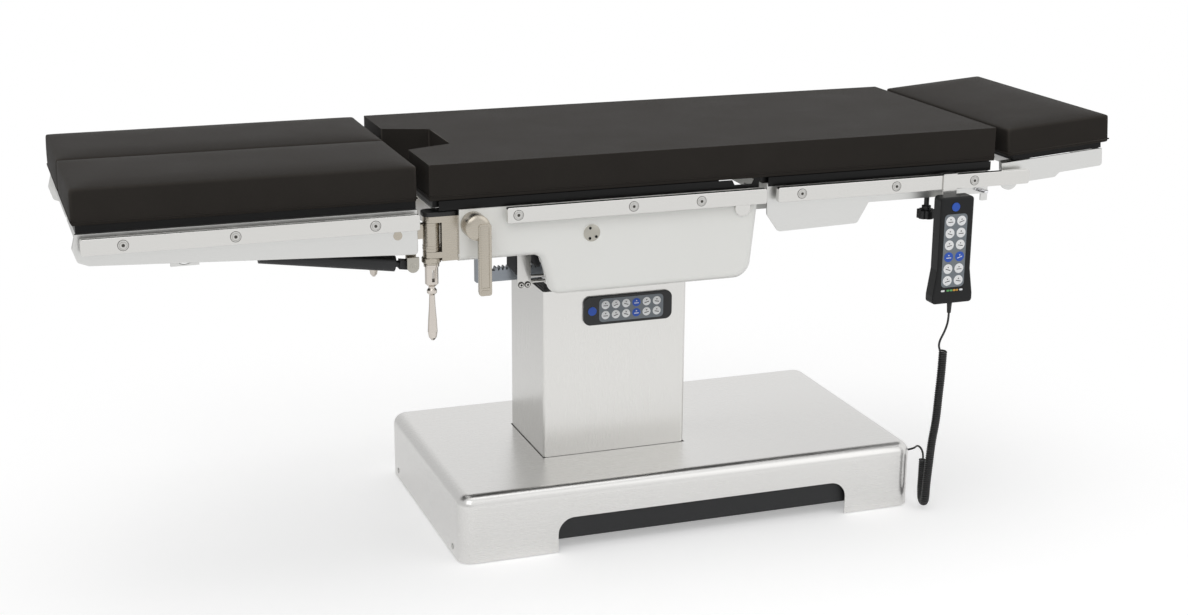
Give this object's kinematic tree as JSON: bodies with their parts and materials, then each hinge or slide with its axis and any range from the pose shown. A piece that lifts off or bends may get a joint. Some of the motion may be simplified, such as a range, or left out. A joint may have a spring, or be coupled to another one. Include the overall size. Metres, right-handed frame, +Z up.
{
  "type": "operating table",
  "caption": "Electric operating table: padded sections for legs, seat, back and head over a telescopic column on a flat steel base, with side rails, a column keypad and a corded handset.",
  "frame": {"origin": "on the floor under the axis of the lifting column", "axes": "+X from the foot end to the head end, +Y across the table away from the handset, +Z up"},
  "size_m": [1.9932, 0.5883, 0.7661],
  "materials": {
    "vinyl": "satin",
    "laminate": "satin",
    "stainless": "brushed",
    "rail_steel": "satin",
    "frame_paint": "satin",
    "panel_white": "gloss",
    "black_paint": "satin",
    "rubber": "matte",
    "chrome": "polished",
    "bright_steel": "satin",
    "cast": "painted",
    "knob_black": "matte",
    "handset_shell": "satin",
    "keypad_film": "satin",
    "key_blue": "gloss",
    "cord_black": "satin"
  },
  "bodies": {
    "base": {"base_cover": "stainless", "base_chassis": "black_paint", "base_feet": "rubber", "inner_sleeve": "stainless", "lift_cylinder": "frame_paint", "cord_socket": "knob_black", "base_lead": "cord_black"},
    "middle": {"middle_sleeve": "stainless"},
    "column": {"column_sleeve": "stainless", "column_head": "cast", "lift_rod": "chrome", "column_keypad": "keypad_film"},
    "column_key": {"column_power_key": "key_blue"},
    "tilt": {"tilt_cross": "cast"},
    "carriage": {"slide_carriage": "frame_paint"},
    "pinion": {"slide_pinion": "bright_steel"},
    "seat": {"seat_frame": "frame_paint", "seat_side_panels": "panel_white", "slide_rack": "bright_steel", "seat_rails": "rail_steel", "seat_board": "laminate", "seat_pad": "vinyl", "leg_brackets": "black_paint", "hinge_pins": "bright_steel"},
    "back": {"back_frame": "frame_paint", "back_rails": "rail_steel", "back_board": "laminate", "back_pad": "vinyl", "pad_bend": "vinyl"},
    "handset": {"handset_hook": "rail_steel", "handset": "handset_shell", "handset_gland": "cord_black", "handset_lead": "cord_black", "curly_cord": "cord_black"},
    "handset_key": {"handset_power_key": "key_blue"},
    "head_slide": {"head_bars": "bright_steel"},
    "head": {"head_frame": "frame_paint", "head_board": "laminate", "head_pad": "vinyl"},
    "head_knob_near": {"head_knob_near": "knob_black"},
    "head_knob_far": {"head_knob_far": "knob_black"},
    "swing_near": {"leg_knuckle_near": "bright_steel"},
    "leg_near": {"leg_frame_near": "frame_paint", "leg_board_near": "laminate", "leg_pad_near": "vinyl", "leg_rail_near": "rail_steel"},
    "spring_cylinder_near": {"leg_spring_cylinder_near": "black_paint"},
    "spring_rod_near": {"leg_spring_rod_near": "chrome"},
    "leg_handle_near": {"leg_handle_near": "bright_steel"},
    "lock_lever_near": {"lock_lever_near": "chrome"},
    "swing_far": {"leg_knuckle_far": "bright_steel"},
    "leg_far": {"leg_frame_far": "frame_paint", "leg_board_far": "laminate", "leg_pad_far": "vinyl", "leg_rail_far": "rail_steel"},
    "spring_cylinder_far": {"leg_spring_cylinder_far": "black_paint"},
    "spring_rod_far": {"leg_spring_rod_far": "chrome"},
    "leg_handle_far": {"leg_handle_far": "bright_steel"},
    "lock_lever_far": {"lock_lever_far": "chrome"}
  },
  "joints": [
    {"name": "column_lift", "type": "slide", "parent": "base", "child": "column", "axis": [0, 0, 1], "range_m": [0, 0.3], "deforming": ["handset_lead", "curly_cord", "base_lead"]},
    {"name": "middle_lift", "type": "slide", "parent": "base", "child": "middle", "axis": [0, 0, 1], "range_m": [0, 0.15]},
    {"name": "column_key_press", "type": "slide", "parent": "column", "child": "column_key", "axis": [0, 1, 0], "range_m": [0, 0.001], "stiffness_N_per_m": 800},
    {"name": "trendelenburg", "type": "hinge", "parent": "column", "child": "tilt", "pos_m": [0, 0, 0.545], "axis": [0, 1, 0], "range_deg": [-25, 25], "deforming": ["handset_lead", "curly_cord", "base_lead"]},
    {"name": "lateral_tilt", "type": "hinge", "parent": "tilt", "child": "carriage", "pos_m": [0, 0, 0.545], "axis": [1, 0, 0], "range_deg": [-15, 15], "deforming": ["handset_lead", "curly_cord", "base_lead"]},
    {"name": "table_slide", "type": "slide", "parent": "carriage", "child": "seat", "axis": [1, 0, 0], "range_m": [-0.08, 0.11], "deforming": ["handset_lead", "curly_cord", "base_lead"]},
    {"name": "pinion_turn", "type": "hinge", "parent": "carriage", "child": "pinion", "pos_m": [-0.12, -0.15, 0.55615], "axis": [0, 1, 0], "range_deg": [-285, 210]},
    {"name": "back_tilt", "type": "hinge", "parent": "seat", "child": "back", "pos_m": [0.193, 0, 0.637], "axis": [0, -1, 0], "range_deg": [-20, 75], "deforming": ["pad_bend", "handset_lead", "curly_cord", "base_lead"]},
    {"name": "handset_lift", "type": "slide", "parent": "back", "child": "handset", "axis": [0, 0, 1], "range_m": [0, 0.04], "deforming": ["handset_lead", "curly_cord", "base_lead"]},
    {"name": "handset_key_press", "type": "slide", "parent": "handset", "child": "handset_key", "axis": [0, 1, 0], "range_m": [0, 0.001], "stiffness_N_per_m": 800},
    {"name": "head_slide", "type": "slide", "parent": "back", "child": "head_slide", "axis": [1, 0, 0], "range_m": [0, 0.06]},
    {"name": "head_tilt", "type": "hinge", "parent": "head_slide", "child": "head", "pos_m": [0.76, 0, 0.65], "axis": [0, -1, 0], "range_deg": [-90, 12]},
    {"name": "head_knob_turn_near", "type": "hinge", "parent": "back", "child": "head_knob_near", "pos_m": [0.595, -0.225, 0.6], "axis": [0, 0, 1], "range_deg": [0, 360]},
    {"name": "head_knob_turn_far", "type": "hinge", "parent": "back", "child": "head_knob_far", "pos_m": [0.595, 0.225, 0.6], "axis": [0, 0, 1], "range_deg": [0, 360]},
    {"name": "leg_swing_near", "type": "hinge", "parent": "seat", "child": "swing_near", "pos_m": [-0.395, -0.228, 0.62], "axis": [0, 0, 1], "range_deg": [0, 90]},
    {"name": "leg_pitch_near", "type": "hinge", "parent": "swing_near", "child": "leg_near", "pos_m": [-0.46, -0.222, 0.634], "axis": [0, -1, 0], "range_deg": [-9, 90]},
    {"name": "spring_swing_near", "type": "hinge", "parent": "swing_near", "child": "spring_cylinder_near", "pos_m": [-0.431, -0.222, 0.573], "axis": [0, -1, 0], "range_deg": [-10, 92]},
    {"name": "spring_stroke_near", "type": "slide", "parent": "spring_cylinder_near", "child": "spring_rod_near", "axis": [-0.9897, 0, 0.1428], "range_m": [-0.097, 0.011]},
    {"name": "leg_handle_turn_near", "type": "hinge", "parent": "seat", "child": "leg_handle_near", "pos_m": [-0.395, -0.228, 0.5], "axis": [0, 0, 1], "range_deg": [0, 120]},
    {"name": "lock_lever_turn_near", "type": "hinge", "parent": "seat", "child": "lock_lever_near", "pos_m": [-0.324, -0.26, 0.645], "axis": [0, -1, 0], "range_deg": [0, 90]},
    {"name": "leg_swing_far", "type": "hinge", "parent": "seat", "child": "swing_far", "pos_m": [-0.395, 0.228, 0.62], "axis": [0, 0, -1], "range_deg": [0, 90]},
    {"name": "leg_pitch_far", "type": "hinge", "parent": "swing_far", "child": "leg_far", "pos_m": [-0.46, 0.222, 0.634], "axis": [0, -1, 0], "range_deg": [-9, 90]},
    {"name": "spring_swing_far", "type": "hinge", "parent": "swing_far", "child": "spring_cylinder_far", "pos_m": [-0.431, 0.222, 0.573], "axis": [0, -1, 0], "range_deg": [-10, 92]},
    {"name": "spring_stroke_far", "type": "slide", "parent": "spring_cylinder_far", "child": "spring_rod_far", "axis": [-0.9897, 0, 0.1428], "range_m": [-0.097, 0.011]},
    {"name": "leg_handle_turn_far", "type": "hinge", "parent": "seat", "child": "leg_handle_far", "pos_m": [-0.395, 0.228, 0.5], "axis": [0, 0, 1], "range_deg": [0, 120]},
    {"name": "lock_lever_turn_far", "type": "hinge", "parent": "seat", "child": "lock_lever_far", "pos_m": [-0.324, 0.26, 0.645], "axis": [0, -1, 0], "range_deg": [0, 90]}
  ],
  "couplings": [
    {"joint": "middle_lift", "follows": "column_lift", "ratio": 0.5},
    {"joint": "pinion_turn", "follows": "table_slide", "rad_per_m": -44.444},
    {"joint": "spring_swing_near", "follows": "leg_pitch_near", "ratio": 1.012},
    {"joint": "spring_stroke_near", "follows": "leg_pitch_near", "m_per_rad": -0.0608},
    {"joint": "spring_swing_far", "follows": "leg_pitch_far", "ratio": 1.012},
    {"joint": "spring_stroke_far", "follows": "leg_pitch_far", "m_per_rad": -0.0608}
  ]
}
